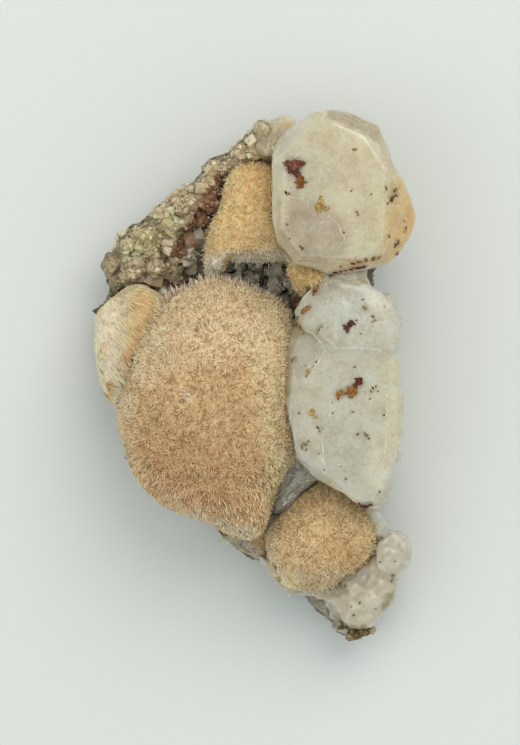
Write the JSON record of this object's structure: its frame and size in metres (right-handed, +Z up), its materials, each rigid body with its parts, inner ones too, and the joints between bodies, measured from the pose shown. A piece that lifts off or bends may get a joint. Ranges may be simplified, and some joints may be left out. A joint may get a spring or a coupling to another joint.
{
  "type": "thomsonite mineral specimen",
  "caption": "Natural mineral specimen: fuzzy balls of fine needles and milky crystals grown together on a flat-based piece of rock crusted with small pointed crystals.",
  "frame": {"origin": "centre of the specimen's box, at the height of the broken base that it lies on", "axes": "+X to the right and +Y to the far end as the picture shows it from above, +Z up towards the balls and crystals"},
  "size_m": [0.0544, 0.09, 0.0351],
  "materials": {
    "druse_rock": "matte",
    "needles": "matte",
    "milky_crystal": "satin"
  },
  "bodies": {
    "root": {"rock": "druse_rock", "main_ball": "needles", "left_ball": "needles", "upper_ball": "needles", "small_ball": "needles", "lower_ball": "needles", "upper_crystal": "milky_crystal", "side_crystals": "milky_crystal", "foot_crystals": "milky_crystal"}
  },
  "joints": []
}
